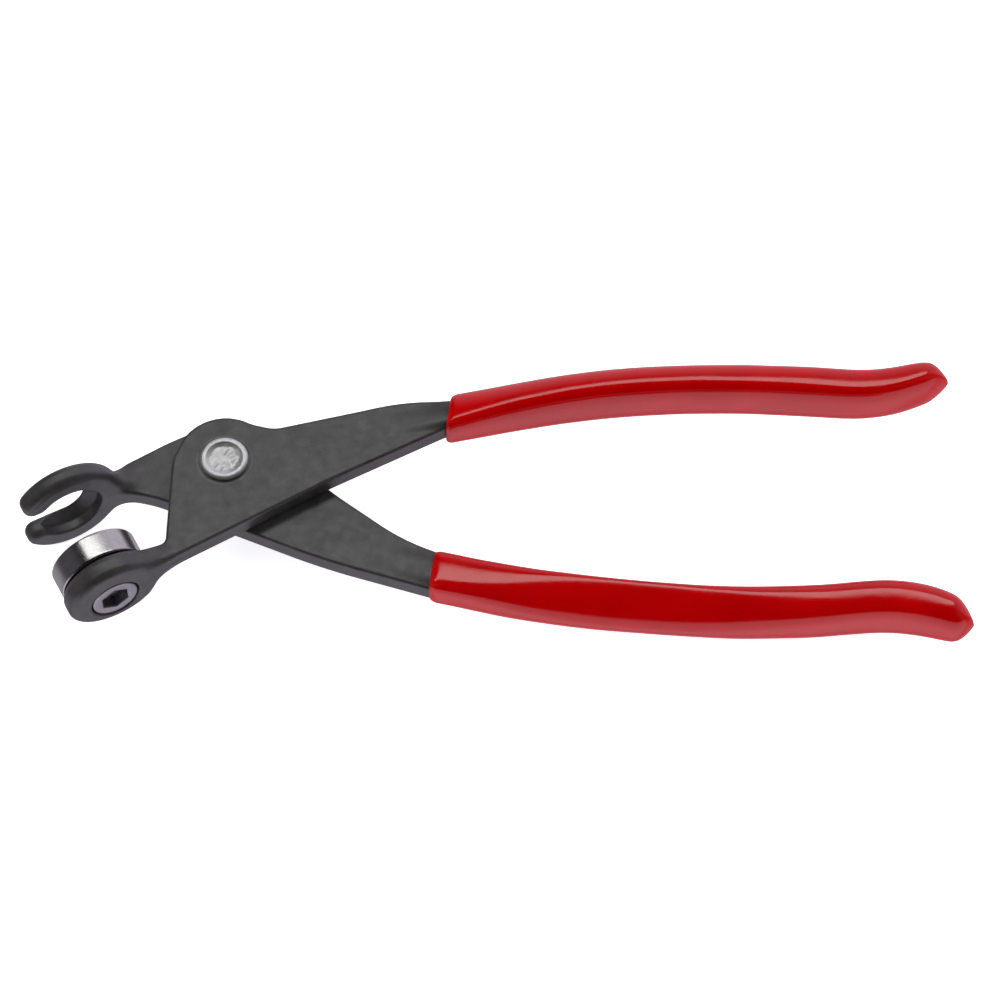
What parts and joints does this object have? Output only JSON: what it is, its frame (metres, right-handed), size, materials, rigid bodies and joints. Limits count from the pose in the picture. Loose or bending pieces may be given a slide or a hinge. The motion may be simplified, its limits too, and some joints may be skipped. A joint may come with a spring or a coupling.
{
  "type": "fork-and-disc pliers",
  "caption": "Lap-joint hand pliers with long red dipped handles, an open C-shaped fork on one jaw and a round steel press disc screwed to the other.",
  "frame": {"origin": "centre of the flat rear end of the pivot bolt, on the pivot axis", "axes": "+Z along the pivot axis towards the bolt's head, +X towards the handles, +Y towards the upper handle"},
  "size_m": [0.2655, 0.0826, 0.0315],
  "materials": {
    "front_lever": "black oxide, satin, faintly mottled",
    "rear_lever": "black oxide, satin, faintly mottled",
    "pivot_bolt": "zinc plated, satin",
    "pivot_nut": "zinc plated, satin",
    "press_disc": "bright ground steel",
    "disc_screw": "plain steel, lightly oiled",
    "upper_grip": "glossy dip-moulded vinyl",
    "lower_grip": "glossy dip-moulded vinyl"
  },
  "bodies": {
    "front": {"front_lever": "front_lever", "upper_grip": "upper_grip", "press_disc": "press_disc", "disc_screw": "disc_screw", "pivot_bolt": "pivot_bolt", "pivot_nut": "pivot_nut"},
    "rear": {"rear_lever": "rear_lever", "lower_grip": "lower_grip"}
  },
  "joints": [
    {"name": "pivot", "type": "hinge", "parent": "front", "child": "rear", "pos_m": [0, 0, 0.01085], "axis": [0, 0, 1], "range_deg": [-45, 15.5]}
  ]
}
